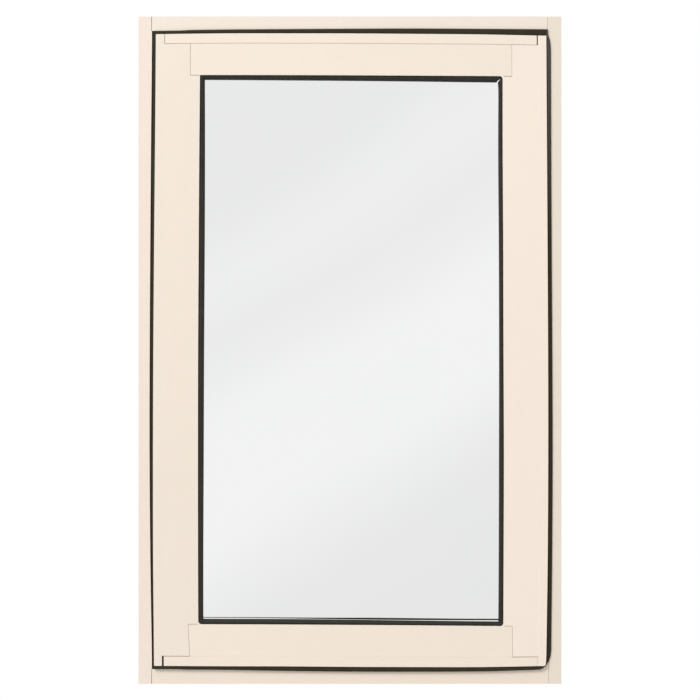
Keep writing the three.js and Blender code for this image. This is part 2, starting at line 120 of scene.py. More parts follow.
def turnOn(bm, profile, origin, axis, sides=32):  # profile of (radius, distance along axis)
    axis = Vector(axis).normalized()
    side = axis.orthogonal().normalized()
    other = axis.cross(side)
    rings = []
    for radius, along in profile:
        ring = []
        for k in range(sides):
            a = 2 * math.pi * k / sides
            ring.append(Vector(origin) + axis * along + (side * math.cos(a) + other * math.sin(a)) * radius)
        rings.append(ring)
    loft(bm, rings)


def tube(bm, path, radius, sides=8):
    rings = []
    up = Vector((0, 1, 0))
    for i, p in enumerate(path):
        ahead = path[min(i + 1, len(path) - 1)] - path[max(i - 1, 0)]
        ahead.normalize()
        side = ahead.cross(up).normalized()
        other = side.cross(ahead)
        rings.append([p + (side * math.cos(2 * math.pi * k / sides)
                           + other * math.sin(2 * math.pi * k / sides)) * radius for k in range(sides)])
    loft(bm, rings)


meshCare = {
    "weld": 0.004,  # points of a copied frame mesh closer than this are one
    "nodeWeld": 0.005,  # the same for a frame mesh that stays
    "flatAngle": 1,  # faces that meet flatter than this many degrees are one
    "roundAngle": 28,  # edges sharper than this many degrees are rounded
    "flatWeight": 90,  # how strongly the large faces keep their shading flat
}


def copyOf(node, cutsX=(), cutsY=(), cutsZ=(), warp=None):  # the frame's shape, cleaned and cut for bending
    bm = bmesh.new()
    bm.from_mesh(nodes[node].data)
    bmesh.ops.scale(bm, vec=(1 / mm,) * 3, verts=bm.verts)
    bmesh.ops.remove_doubles(bm, verts=bm.verts, dist=meshCare["weld"])
    flat = math.radians(meshCare["flatAngle"])
    bmesh.ops.dissolve_limit(bm, angle_limit=flat, verts=bm.verts, edges=bm.edges)
    for axis, places in ((0, cutsX), (1, cutsY), (2, cutsZ)):
        normal = Vector((0, 0, 0))
        normal[axis] = 1
        for place in places:
            bmesh.ops.bisect_plane(bm, geom=bm.verts[:] + bm.edges[:] + bm.faces[:], dist=0.01,
                                   plane_co=normal * place, plane_no=normal)
    if warp:
        for v in bm.verts:
            v.co = warp(v.co.copy())
    return bm


def addPiece(name, bm, body, finishes, standsFor=(), arris=0.0, sharp=35):
    bmesh.ops.scale(bm, vec=(mm,) * 3, verts=bm.verts)
    bmesh.ops.recalc_face_normals(bm, faces=bm.faces)
    mesh = bpy.data.meshes.new(name)
    bm.to_mesh(mesh)
    bm.free()
    for finish in finishes if isinstance(finishes, list) else [finishes]:
        mesh.materials.append(finish)
    piece = bpy.data.objects.new(name, mesh)
    bpy.context.scene.collection.objects.link(piece)
    mesh.shade_smooth()
    if arris:
        roundEdges(piece, arris, 3)
    else:
        mesh.set_sharp_from_angle(angle=math.radians(sharp))
    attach(piece, body)
    if standsFor:
        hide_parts(*standsFor)
    return piece


def roundEdges(piece, width, segments):
    bevel = piece.modifiers.new("roundedArris", "BEVEL")
    bevel.width = width * mm
    bevel.segments = segments
    bevel.limit_method = "ANGLE"
    bevel.angle_limit = math.radians(meshCare["roundAngle"])
    bevel.use_clamp_overlap = True
    weighted = piece.modifiers.new("flatShading", "WEIGHTED_NORMAL")
    weighted.mode = "FACE_AREA"
    weighted.weight = meshCare["flatWeight"]


def keepNode(node, finish, arris, segments=2):  # a frame piece whose shape is right, with softened edges
    piece = nodes[node]
    piece.data.materials.clear()
    piece.data.materials.append(finish)
    weld = piece.modifiers.new("weld", "WELD")
    weld.merge_threshold = meshCare["nodeWeld"] * mm
    flat = piece.modifiers.new("flatFaces", "DECIMATE")
    flat.decimate_type = "DISSOLVE"
    flat.angle_limit = math.radians(meshCare["flatAngle"])
    piece.data.shade_smooth()
    roundEdges(piece, arris, segments)


class Finish:  # a node material under construction
    def __init__(self, name):
        self.material = bpy.data.materials.new(name)
        self.material.use_nodes = True
        self.tree = self.material.node_tree
        self.shader = self.tree.nodes["Principled BSDF"]
        self.coords = self.node("ShaderNodeTexCoord").outputs["Object"]

    def node(self, kind, **values):
        made = self.tree.nodes.new(kind)
        for key, value in values.items():
            setattr(made, key, value)
        return made

    def link(self, output, target):
        self.tree.links.new(output, target)

    def mapped(self, scale):
        mapping = self.node("ShaderNodeMapping")
        mapping.inputs["Scale"].default_value = scale
        self.link(self.coords, mapping.inputs["Vector"])
        return mapping.outputs["Vector"]

    def noise(self, scale, detail=3, roughness=0.55, stretch=(1, 1, 1)):
        made = self.node("ShaderNodeTexNoise")
        made.inputs["Scale"].default_value = scale
        made.inputs["Detail"].default_value = detail
        made.inputs["Roughness"].default_value = roughness
        self.link(self.mapped(stretch), made.inputs["Vector"])
        return made.outputs["Fac"]

    def blend(self, value, first, second, start=0.3, end=0.7):  # drifts from one tone to the other
        made = self.node("ShaderNodeValToRGB")
        for element, place, tone in zip(made.color_ramp.elements, (start, end), (first, second)):
            element.position = place
            element.color = (*tone, 1)
        self.link(value, made.inputs["Fac"])
        return made.outputs["Color"]

    def span(self, value, low, high, start=0.3, end=0.7):  # low where value is start, high where it is end
        made = self.node("ShaderNodeMapRange")
        made.inputs["From Min"].default_value = start
        made.inputs["From Max"].default_value = end
        made.inputs["To Min"].default_value = low
        made.inputs["To Max"].default_value = high
        self.link(value, made.inputs["Value"])
        return made.outputs["Result"]

    def mix(self, a, b, share):
        made = self.node("ShaderNodeMix", data_type="RGBA")
        for value, socket in ((share, made.inputs[0]), (a, made.inputs[6]), (b, made.inputs[7])):
            if isinstance(value, bpy.types.NodeSocket):
                self.link(value, socket)
            else:
                socket.default_value = (*value, 1)
        return made.outputs[2]

    def bump(self, height, distance, under=None):
        made = self.node("ShaderNodeBump")
        made.inputs["Strength"].default_value = 1.0
        made.inputs["Distance"].default_value = distance
        self.link(height, made.inputs["Height"])
        if under:
            self.link(under, made.inputs["Normal"])
        return made.outputs["Normal"]

    def crevice(self, reach):  # how open a point is to its surroundings
        made = self.node("ShaderNodeAmbientOcclusion", samples=6)
        made.inputs["Distance"].default_value = reach
        return made.outputs["AO"]

    def done(self, colour, roughness, relief=None, metallic=0.0, specular=0.5):
        for output, name in ((colour, "Base Color"), (roughness, "Roughness"), (relief, "Normal")):
            if output:
                self.link(output, self.shader.inputs[name])
        self.shader.inputs["Metallic"].default_value = metallic
        self.shader.inputs["Specular IOR Level"].default_value = specular
        return self.material


def shade(colour, factor):  # one factor for all three parts of a colour, or one for each
    factors = factor if isinstance(factor, tuple) else (factor,) * 3
    return tuple(c * f for c, f in zip(colour, factors))


# In the looks below a noise is (scale, detail, roughness), and depths and reaches are in metres
paintLook = {
    "cream": (0.735, 0.653, 0.570),
    "deep": (0.705, 0.620, 0.532),  # where the coat is thicker
    # painted shade: the brown tone laid into crevices and joints, where little light reaches
    "paintedCreviceShade": (0.430, 0.350, 0.270),
    "roughness": (0.42, 0.56),
    "specular": 0.3,
    "cloud": (5.5, 4, 0.6),
    "fine": (60, 5, 0.6),
    "grain": (170, 4, 0.6),
    "peel": (900, 2, 0.5),
    "grainStretch": {"x": (0.05, 1, 1), "z": (1, 1, 0.05)},
    "grainDepth": 0.00004,
    "peelDepth": 0.00005,  # of the sprayed coat's texture
    "creviceReach": 0.0016,
}


def creamPaint(name, grainAlong, tint):
    look = Finish(name)
    cloud = look.noise(*paintLook["cloud"])
    fine = look.noise(*paintLook["fine"])
    grain = look.noise(*paintLook["grain"], paintLook["grainStretch"][grainAlong])
    peel = look.noise(*paintLook["peel"])
    cream = shade(paintLook["cream"], tint)
    deep = shade(paintLook["deep"], tint)
    body = look.blend(cloud, cream, shade(cream, 0.985), end=0.75)
    streaked = look.mix(body, deep, look.span(grain, 0, 0.16, 0.45, 0.8))
    specked = look.mix(streaked, shade(cream, 1.02), look.span(fine, 0, 0.25, 0.5, 0.75))
    # painted shade: the paint darkens toward the brown shade tone where the occlusion test finds a crevice
    edge = look.span(look.crevice(paintLook["creviceReach"]), 0.85, 0, 0.15, 0.6)
    relief = look.bump(peel, paintLook["peelDepth"], look.bump(grain, paintLook["grainDepth"]))
    return look.done(look.mix(specked, paintLook["paintedCreviceShade"], edge), look.span(fine, *paintLook["roughness"]),
                     relief, specular=paintLook["specular"])


rubberLook = {
    "black": (0.0125, 0.0108, 0.0078),
    "grey": (0.021, 0.019, 0.015),
    "upperGrey": (0.066, 0.056, 0.058),
    "upperGreyHeights": (-0.24, 0.02),  # where going up it starts to show, and where it is full
    "roughness": (0.48, 0.68),
    "specular": 0.2,
    "cloud": (24, 4, 0.6),
    "dust": (420, 5, 0.7),
    "dustDepth": 0.00006,
}


def softRubber(name, tint, upperGrey=0.0):  # the last argument says how much greyer its upper end is made
    look = Finish(name)
    cloud = look.noise(*rubberLook["cloud"])
    dust = look.noise(*rubberLook["dust"])
    black = shade(rubberLook["black"], tint)
    grey = shade(rubberLook["grey"], tint)
    tone = look.blend(cloud, black, grey, 0.35, 0.8)
    tone = look.mix(tone, shade(grey, 1.8), look.span(dust, 0, 0.35, 0.55, 0.8))
    if upperGrey:
        parts = look.node("ShaderNodeSeparateXYZ")
        look.link(look.coords, parts.inputs[0])
        faded = look.span(parts.outputs["Z"], 0, upperGrey, *rubberLook["upperGreyHeights"])
        tone = look.mix(tone, rubberLook["upperGrey"], faded)
    return look.done(tone, look.span(cloud, *rubberLook["roughness"]),
                     look.bump(dust, rubberLook["dustDepth"]), specular=rubberLook["specular"])


silverLook = {
    "tones": ((0.905, 0.905, 0.910), (0.895, 0.899, 0.903)),
    "roughness": (0.012, 0.035),
    "haze": (3.5, 4, 0.6),
    "film": (45, 5, 0.65),
}


def silvering(name):
    look = Finish(name)
    haze = look.noise(*silverLook["haze"])
    film = look.noise(*silverLook["film"])
    return look.done(look.blend(haze, *silverLook["tones"]), look.span(film, *silverLook["roughness"]),
                     metallic=1.0)


def twoTone(name, tones, roughness, scale, detail=3, depth=0.0):  # a plain surface that drifts in tone
    look = Finish(name)
    cloud = look.noise(scale, detail)
    relief = look.bump(cloud, depth) if depth else None
    return look.done(look.blend(cloud, *tones), look.span(cloud, *roughness), relief)


woodLook = {
    "roughness": (0.62, 0.82),
    "specular": 0.25,
    "bend": (9, 3, 0.5),
    "bendStretch": (0.25, 1, 1),
    "fibre": (420, 5, 0.65),
    "fibreStretch": (0.03, 1, 1),
    "fibreDepth": 0.00018,
    "rings": {"Scale": 55, "Distortion": 7, "Detail": 3, "Detail Scale": 1.2},
    "ringStretch": (0.06, 0.6, 1),
}


def bareWood(name, light, dark):
    look = Finish(name)
    bend = look.noise(*woodLook["bend"], woodLook["bendStretch"])
    rings = look.node("ShaderNodeTexWave", wave_type="BANDS", bands_direction="Z")
    for socket, value in woodLook["rings"].items():
        rings.inputs[socket].default_value = value
    look.link(look.mapped(woodLook["ringStretch"]), rings.inputs["Vector"])
    fibre = look.noise(*woodLook["fibre"], woodLook["fibreStretch"])
    tone = look.mix(light, dark, look.span(rings.outputs["Fac"], 0, 0.75, 0.15, 1))
    tone = look.mix(tone, shade(dark, 0.8), look.span(fibre, 0, 0.35, 0.45, 0.8))
    tone = look.mix(tone, shade(light, 1.1), look.span(bend, 0, 0.4))
    return look.done(tone, look.span(fibre, *woodLook["roughness"]),
                     look.bump(fibre, woodLook["fibreDepth"]), specular=woodLook["specular"])


boardLook = {"roughness": (0.5, 0.72), "cloud": (7, 4, 0.6), "tooth": (700, 4, 0.6), "toothDepth": 0.00006}


def plainBoard(name, tone):
    look = Finish(name)
    cloud = look.noise(*boardLook["cloud"])
    tooth = look.noise(*boardLook["tooth"])
    body = look.blend(cloud, tone, shade(tone, 0.93), end=0.72)
    colour = look.mix(body, shade(tone, 0.80), look.span(tooth, 0, 0.25, 0.5, 0.8))
    return look.done(colour, look.span(tooth, *boardLook["roughness"]),
                     look.bump(tooth, boardLook["toothDepth"]))


steelLook = {"lines": (900, 4, 0.6), "stain": (60, 3, 0.6), "lineDepth": 0.00003}


def brushedSteel(name, tone, stretch, roughness):
    look = Finish(name)
    lines = look.noise(*steelLook["lines"], stretch)
    stain = look.noise(*steelLook["stain"])
    return look.done(look.blend(stain, tone, shade(tone, 0.8), end=0.75), look.span(lines, *roughness),
                     look.bump(lines, steelLook["lineDepth"]), metallic=1.0)


plasticLook = {"roughness": (0.38, 0.52), "cloud": (40, 3), "spark": (1500, 3, 0.6), "sparkDepth": 0.00004}


def mouldedPlastic(name, tone):
    look = Finish(name)
    cloud = look.noise(*plasticLook["cloud"])
    spark = look.noise(*plasticLook["spark"])
    return look.done(look.blend(cloud, tone, shade(tone, 0.9)), look.span(spark, *plasticLook["roughness"]),
                     look.bump(spark, plasticLook["sparkDepth"]))


coatTonesAndPaintedShade = {  # which way the grain runs, and how each part's tone differs in red, green and blue: partly the coat, partly painted light and shade, with the right and bottom panels darkened as if in the door's shadow
    "leftPanel": ("z", (0.965, 0.95, 0.97)),
    "rightPanel": ("z", (0.925, 0.93, 0.925)),
    "topPanel": ("x", (0.965, 0.98, 0.995)),
    "bottomPanel": ("x", (0.955, 0.95, 0.93)),
    "leftStile": ("z", (0.962, 0.967, 0.972)),
    "rightStile": ("z", (1.02, 1.01, 1.02)),
    "topRail": ("x", (0.98, 0.985, 0.985)),
    "bottomRail": ("x", (0.985, 0.985, 0.98)),
    "shelves": ("x", (1, 1, 1)),
    "beads": ("z", (1, 1, 1)),
}
# painted light and shade: the glazing gasket is one rubber, made lighter on the left and top and darker at
# the bottom as light falls on each side
gasketPaintedLight = {
    "left": (1.6, 1.65, 1.65),
    "right": (1.03, 1.05, 1.05),
    "top": (1.4, 1.45, 1.45),
    "bottom": (0.88, 0.95, 0.95),
}
paints = {part: creamPaint("creamPaint" + part[0].upper() + part[1:], *coat)
          for part, coat in coatTonesAndPaintedShade.items()}
gasketRubber = {side: softRubber(f"black{side.title()}Gasket", tint) for side, tint in gasketPaintedLight.items()}
sealRubber = softRubber("blackSealRubber", (1.25, 1.08, 0.6))
openingRubber = softRubber("blackOpeningSealRubber", (1.2, 1.05, 0.65), 0.85)
mirrorSilver = silvering("mirrorSilver")
mirrorEdge = twoTone("mirrorGlassEdge", ((0.16, 0.26, 0.22), (0.24, 0.36, 0.31)), (0.12, 0.3), 120, 3, 0.0001)
mirrorPaint = twoTone("mirrorBackPaint", ((0.20, 0.22, 0.23), (0.26, 0.28, 0.29)), (0.5, 0.7), 30, 4)
cleatWood = bareWood("cleatPine", (0.60, 0.425, 0.235), (0.42, 0.265, 0.125))
battenWood = bareWood("battenPine", (0.63, 0.45, 0.26), (0.45, 0.29, 0.145))
backBoard = plainBoard("backPanelBoard", (0.74, 0.70, 0.63))
backingCard = plainBoard("mirrorBackingBoard", (0.36, 0.27, 0.18))
plateSteel = brushedSteel("brushedPlateSteel", (0.62, 0.62, 0.60), (0.04, 1, 1), (0.22, 0.42))
pinSteel = brushedSteel("turnedPinSteel", (0.66, 0.66, 0.65), (1, 1, 0.05), (0.16, 0.3))
springSteel = brushedSteel("springSteel", (0.5, 0.5, 0.5), (1, 1, 1), (0.2, 0.35))
screwSteel = brushedSteel("screwSteel", (0.70, 0.68, 0.60), (1, 1, 1), (0.2, 0.38))
latchPlastic = mouldedPlastic("latchGreyPlastic", (0.25, 0.255, 0.26))
bushNylon = mouldedPlastic("bushWhiteNylon", (0.72, 0.71, 0.66))
print("finishes made")


# How far the opening's front edges stray outwards from straight: the left from the top down,
# the others from left to right
carcassShape = {
    "leftEdge": (-1.2, 0.1, 1.25, 2.1, 2.3, 1.1, -1.15),
    "topEdge": (-2.4, -1.05, -0.35, 0.2, 0.5, 0.0, -0.6),
    "bottomEdge": (-2.9, -2.6, -1.0, 0.0, 0.15, -0.3, -2.8),
    "cornerRise": 4.1,  # the filled corner at the lower right
    "riseFrom": 18,  # how far from the side panel it starts, and over what length it rises
    "riseOver": 16,
    "cornerRound": 16,
    "roundShare": 0.95,
    "rightDraw": 1.4,  # how far the right panel's upper end leans in
    "drawHeight": 34,
    "straightDepth": 3,  # behind the front, before the edges start to run straight again
    "fadeDepth": 26,
    "arris": 0.7,
}


def edgeFade(y):
    return 1 - softStep((y - carcassFront - carcassShape["straightDepth"]) / carcassShape["fadeDepth"])


def openingLeftAt(z):
    return openLeft - strayAt(carcassShape["leftEdge"], (openTop - z) / (openTop - openBottom))


def openingRightAt(z):
    return openRight - carcassShape["rightDraw"] * (1 - softStep((openTop - z) / carcassShape["drawHeight"]))


def openingTopAt(x):
    return openTop + strayAt(carcassShape["topEdge"], (x - openLeft) / (openRight - openLeft))


def openingBottomAt(x):
    shape = carcassShape
    rise = shape["cornerRise"] * softStep((x - openRight + shape["riseFrom"]) / shape["riseOver"]) ** 2
    radius = shape["cornerRound"]
    into = min(max(x - openRight + radius, 0), radius)
    rise = max(rise, shape["roundShare"] * (radius - math.sqrt(radius ** 2 - into ** 2)))
    return openBottom - strayAt(shape["bottomEdge"], (x - openLeft) / (openRight - openLeft)) + rise


def bendLeftPanel(p):
    if p.x > openLeft - 1:
        p.x += (openingLeftAt(p.z) - openLeft) * edgeFade(p.y)
    return p


def bendRightPanel(p):
    if p.x < openRight + 1:
        p.x += (openingRightAt(p.z) - openRight) * edgeFade(p.y)
    return p


def bendTopPanel(p):
    if p.x > openRight - 1:
        p.x += (openingRightAt(p.z) - openRight) * edgeFade(p.y)
    if p.z < openTop + 1:
        p.z += (openingTopAt(p.x) - openTop) * edgeFade(p.y)
    return p


def bendBottomPanel(p):
    if p.z > openBottom - 1:
        p.z += (openingBottomAt(p.x) - openBottom) * edgeFade(p.y)
    return p


# Where the boards are cut across, so that their edges can bend
frontCuts = [carcassFront + d for d in (3, 8, 13, 18, 23, 29)]
heightCuts = steps(sideHigh.z - 40, sideLow.z + 40, 20)
upperCuts = steps(openTop, openTop - 36, 7)
widthCuts = steps(openLeft + 22, openRight - 22, 16)
floorCuts = widthCuts + [openRight - d for d in (17, 14, 11.5, 9, 7, 5, 3.5, 2.2, 1.2, 0.5)]
carcassPanels = {
    "leftSidePanel": ("side_panel_left", "leftPanel", (), heightCuts, bendLeftPanel),
    "rightSidePanel": ("side_panel_right", "rightPanel", (), upperCuts, bendRightPanel),
    "topPanel": ("top_panel", "topPanel", widthCuts, (), bendTopPanel),
    "bottomPanel": ("bottom_panel", "bottomPanel", floorCuts, (), bendBottomPanel),
}
for name, (node, coat, cutsX, cutsZ, bend) in carcassPanels.items():
    addPiece(name, copyOf(node, cutsX, frontCuts, cutsZ, bend), "carcass", paints[coat],
             [node], carcassShape["arris"])
keepNode("back_panel", backBoard, 0.3)
keepNode("wall_cleat", cleatWood, 0.8, 3)
for level in ("lower", "middle", "upper"):
    keepNode("shelf_" + level, paints["shelves"], 1.2, 4)
print("carcass made")


shelfPin = {
    "peg": 2.2,  # radius
    "tipChamfer": 0.5,
    "collarGap": 0.3,  # between the side panel and the collar
    "collarThick": 1.6,
    "collarRound": 0.35,
    "endRound": ((0, 1.2), (0.3, 0.5), (0.9, 0.1), (1.5, 0)),  # in from the peg's side, back from its end
    "sides": 24,
}


def makeShelfPin(level, side, row):
    node = "_".join(("shelf_pin", level, side, row))
    low, high = boxOf(node)
    sign = 1 if side == "left" else -1
    start = low.x if sign > 0 else high.x
    length = high.x - low.x
    collar = (high.z - low.z) / 2
    face = abs((openLeft if sign > 0 else openRight) - start) + shelfPin["collarGap"]
    back = face + shelfPin["collarThick"]
    peg, c, r = shelfPin["peg"], shelfPin["tipChamfer"], shelfPin["collarRound"]
    profile = [(peg - c, 0), (peg, c), (peg, face), (collar - r, face), (collar, face + r),
               (collar, back - r), (collar - r, back), (peg, back)]
    profile += [(peg - inset, length - short) for inset, short in shelfPin["endRound"]]
    bm = bmesh.new()
    middle = Vector((start, (low.y + high.y) / 2, (low.z + high.z) / 2))
    turnOn(bm, profile, middle, (sign, 0, 0), shelfPin["sides"])
    addPiece(f"{level}ShelfPin{side.title()}{row.title()}", bm, "carcass", pinSteel, [node])


for level in ("lower", "middle", "upper"):
    for side in ("left", "right"):
        for row in ("front", "back"):
            makeShelfPin(level, side, row)
print("shelf pins made")


# How far each edge strays outwards from straight: sides from the top down, others left to right
doorShape = {
    "leftEdge": (-2.1, -1.0, 0.4, 1.5, 2.0, 1.8, 0.5),
    "rightEdge": (-0.85, 0.05, 0.95, 1.7, 1.9, 1.1, -0.9),
    "topEdge": (-1.3, -0.25, -0.2, -0.3, -0.95, -1.7, -3.5),
    "bottomEdge": (-1.75, -1.3, -1.1, -0.4, -0.1, -0.1, -1.6),
    "leftSight": (-1.9, -0.7, 0.3, 1.15, 1.4, 1.25, 0.8),
    "rightSight": (0.6, 0.5, 1.3, 1.7, 2.3, 1.8, 1.3),
    "topSight": (0.0, 0.0, -0.1, -0.4, -0.9, -1.4, -2.0),
    "bottomSight": (-1.6, -1.4, -1.05, -0.5, 0.1, 0.9, 1.7),
    "arris": 0.45,
    "stileRelief": 0.3,  # share of the frame's step depths kept on the stiles
    "borderWidth": 13.5,  # of the raised border round the frame
    "railEnds": (226, 228.6),  # between these distances from the middle the rails' main parts end
    "facetShift": {"topLeft": (1.5, 1.5), "topRight": (0.7, 0.7),  # how much longer they are, at the
                   "bottomLeft": (2.2, -0.1), "bottomRight": (0.6, 1.3)},  # mirror and at the border
    "facetHeight": 46,
    "borderEnds": (263.5, 265.2),  # the same for the raised border
    "borderShift": 1.3,
    "lowerLeftShift": 1.1,
    "openJoint": {"topRight": 1.4, "bottomLeft": 2.4, "topLeft": 0.3},  # the border's joints that have opened
    "jointGap": {"topBorder": 0.15, "bottomBorder": 0.4, "topSight": 0.35, "bottomSight": 0.25},
    "cornerFill": {"topLeft": 0.8, "topRight": 4.4, "bottomLeft": 5.0, "bottomRight": 4.2},
    "cornerRound": 3.6,  # at the lower right, and the width of the strip that turns with it
    "roundShare": 0.8,
    "turnWidth": 3,
    "footLean": 0.7,  # how far the strip's foot leans in, and over what height
    "leanHeight": 16,
    "pivotKeep": 5,  # nothing nearer than this to the pivot moves
}
lineReach = 0.4  # points nearer than this to a joint line belong to it


def doorShares(p):
    across = (p.x - doorLow.x) / (doorHigh.x - doorLow.x)
    down = (doorHigh.z - p.z) / (doorHigh.z - doorLow.z)
    return across, down


def cornerTurn(p):  # how far the door's rounded lower right corner draws in its edge
    height = max(p.z - doorLow.z, 0)
    radius = doorShape["cornerRound"]
    lean = doorShape["footLean"] * max(1 - height / doorShape["leanHeight"], 0)
    if height >= radius:
        return lean
    return lean + doorShape["roundShare"] * (radius - math.sqrt(radius ** 2 - (radius - height) ** 2))


def bendDoor(p):
    across, down = doorShares(p)
    shape = doorShape
    dx = between(p.x, (doorLow.x, sightLeft, sightRight, doorHigh.x),
                 (-strayAt(shape["leftEdge"], down), -strayAt(shape["leftSight"], down),
                  strayAt(shape["rightSight"], down), strayAt(shape["rightEdge"], down)))
    dz = between(p.z, (doorLow.z, sightBottom, sightTop, doorHigh.z),
                 (-strayAt(shape["bottomEdge"], across), -strayAt(shape["bottomSight"], across),
                  strayAt(shape["topSight"], across), strayAt(shape["topEdge"], across)))
    if p.x > doorHigh.x - shape["turnWidth"]:
        dx -= cornerTurn(p)
    if math.hypot(p.x - pivotX, p.y - pivotY) < shape["pivotKeep"]:
        dx = 0  # the pivot holes stay round and in place
    return Vector((p.x + dx, p.y, p.z + dz))


def shiftJoints(p, border=0.0):  # moves the joint lines outwards
    u = p.x - doorMid.x
    out = 1 if u > 0 else -1
    if doorShape["railEnds"][0] < abs(u) < doorShape["railEnds"][1]:
        end = "top" if p.z > doorMid.z else "bottom"
        away = max(p.z - sightTop, sightBottom - p.z, 0)
        shifts = doorShape["facetShift"][end + ("Right" if u > 0 else "Left")]
        p.x += out * between(away, (0, doorShape["facetHeight"]), shifts)
    elif doorShape["borderEnds"][0] < abs(u) < doorShape["borderEnds"][1]:
        p.x += out * (doorShape["borderShift"] + border)
    return p


def bendStile(p):
    depth = p.y - doorLow.y
    if 0.1 < depth < 2:  # the steps in the stile's face
        p.y = doorLow.y + depth * doorShape["stileRelief"]
    width = doorShape["borderWidth"]
    lowerLeft = p.x < doorMid.x and p.z < doorLow.z + width + 0.5
    for joint, line, way in (("topBorder", doorHigh.z - width, -1), ("bottomBorder", doorLow.z + width, 1),
                             ("topSight", sightTop, -1), ("bottomSight", sightBottom, 1)):
        if abs(p.z - line) < lineReach:
            p.z += way * doorShape["jointGap"][joint]
            break
    return bendDoor(shiftJoints(p, doorShape["lowerLeftShift"] if lowerLeft else 0))


def fillCorner(p, edge, end):  # rounds the sight opening's corners with the rail's own edge
    u = p.x - doorMid.x
    half = sightRight - doorMid.x
    radius = doorShape["cornerFill"][end + ("Left" if u < 0 else "Right")]
    inwards = -1 if end == "top" else 1
    d = half - abs(u)
    if abs(p.z - edge) < 0.5 and -0.5 < d < radius:
        p.z += inwards * (radius - math.sqrt(max(radius ** 2 - (radius - max(d, 0)) ** 2, 0)))
    return p


def bendTopRail(p):
    opened = doorShape["openJoint"]["topRight" if p.x > doorMid.x else "topLeft"]
    return bendDoor(fillCorner(shiftJoints(p, -opened), sightTop, "top"))


def bendBottomRail(p):
    opened = doorShape["openJoint"]["bottomLeft"] - doorShape["lowerLeftShift"] if p.x < doorMid.x else 0
    return bendDoor(fillCorner(shiftJoints(p, -opened), sightBottom, "bottom"))


stileCuts = steps(sightTop - 20, sightBottom + 20, 22)
cornerCuts = [doorLow.z + d for d in (0.6, 1.4, 2.6, 4.2, 8, 16)]
railCuts = steps(doorMid.x - 205, doorMid.x + 205, 16)
for step in (-1.6, 0, 0.9, 1.8, 2.8, 3.9, 5.1):
    railCuts += [sightLeft + step, sightRight - step]
doorFrame = {
    "leftStile": ("door_stile_left", (), stileCuts, bendStile),
    "rightStile": ("door_stile_right", (), stileCuts + cornerCuts, bendStile),
    "topRail": ("door_rail_top", railCuts, (), bendTopRail),
    "bottomRail": ("door_rail_bottom", railCuts, (), bendBottomRail),
}
for name, (node, cutsX, cutsZ, bend) in doorFrame.items():
    addPiece(name, copyOf(node, cutsX, (), cutsZ, bend), "door", paints[name],
             [node], doorShape["arris"])
print("door frame made")


mirrorShape = {
    "edge": ((0.15, 0.6), (0, 0.9)),  # the ground edge: in from the side, back from the face
    "edgeBevel": 1.0,
    "backBevel": (0.4, 0.5),
}


def makeMirror():
    low, high = boxOf("mirror_pane")
    backInset, backDepth = mirrorShape["backBevel"]
    outline = [(mirrorShape["edgeBevel"], low.y)]
    outline += [(edge, low.y + back) for edge, back in mirrorShape["edge"]]
    outline += [(0, high.y - backDepth), (backInset, high.y)]
    rings = []
    for inset, y in outline:
        x0, x1, z0, z1 = low.x + inset, high.x - inset, low.z + inset, high.z - inset
        rings.append([Vector((x, y, z)) for x, z in ((x0, z0), (x1, z0), (x1, z1), (x0, z1))])
    bm = bmesh.new()
    loft(bm, rings)
    bm.normal_update()
    for face in bm.faces:
        y = face.calc_center_median().y
        if len(face.verts) == 4 and abs(face.normal.y) > 0.99:
            face.material_index = 0 if y < (low.y + high.y) / 2 else 2
        else:
            face.material_index = 1
    addPiece("mirrorPane", bm, "door", [mirrorSilver, mirrorEdge, mirrorPaint],
             ["mirror_pane"], sharp=12)


makeMirror()
keepNode("backing_board", backingCard, 0.3)
for side in ("left", "right", "top", "bottom"):
    keepNode("retaining_bead_" + side, paints["beads"], 0.5, 3)
print("mirror made")


# Offsets are outwards from the frame's own lines, in the same order as the door's edges
gasketShape = {
    "left": (-0.7, -1.1, -0.7, 0.2, 0.75, 1.35, 1.2),
    "right": (2.6, 1.7, 2.6, 3.0, 2.8, 2.4, 1.6),
    "top": (1.2, 1.0, 0.4, -0.3, -1.2, -2.4, -2.9),
    "bottom": (-1.3, -1.1, -0.8, 0.15, 1.4, 2.45, 3.2),
    "cover": 7,  # of the mirror
    "front": 2.4,  # behind the door's front face
    "rest": 9.0,
    "openMitre": 1.1,  # at the top right, on the mirror; it closes over this share of the strip's length
    "mitreLength": 1 / 150,
    "mitreSlip": 3,
    "lean": 0.9,  # of the right strip towards it, and over what share of its length
    "leanLength": 1 / 60,
    "mitreShare": 0.293,  # of an outer corner's radius, where two strips meet on the curve
}

gasketProfile = [  # share of the strip's width from the frame inwards, share of its depth
    (0.00, 1.00), (0.00, 0.30), (0.03, 0.12), (0.12, 0.02), (0.28, 0.00), (0.50, 0.05), (0.68, 0.17),
    (0.84, 0.36), (0.95, 0.58), (1.00, 0.78), (1.00, 1.00),
]


def gasketLines(edge):
    c = gasketShape["cover"] if edge == "inner" else 0
    return {"left": sightLeft + c, "right": sightRight - c, "top": sightTop - c, "bottom": sightBottom + c}


def gasketOuter(side, share):  # a point on the strip's outer line, which follows the door
    lines = gasketLines("outer")
    upright = side in ("left", "right")
    start, end = ("top", "bottom") if upright else ("left", "right")
    corners = [near + side.title() if upright else side + near.title() for near in (start, end)]
    radii = [doorShape["cornerFill"][corner] for corner in corners]
    trim = gasketShape["mitreShare"]
    length = abs(lines[end] - lines[start])
    along = radii[0] * trim + (length - trim * sum(radii)) * share
    inset = 0
    for radius, d in ((radii[0], along), (radii[1], length - along)):
        if d < radius:
            inset = radius - math.sqrt(radius ** 2 - (radius - d) ** 2)
    place = lines[start] + (lines[end] - lines[start]) * along / length
    level = lines[side] - (inset if side in ("right", "top") else -inset)
    x, z = (level, place) if upright else (place, level)
    p = bendDoor(Vector((x, doorLow.y, z)))
    return Vector((p.x, 0, p.z))


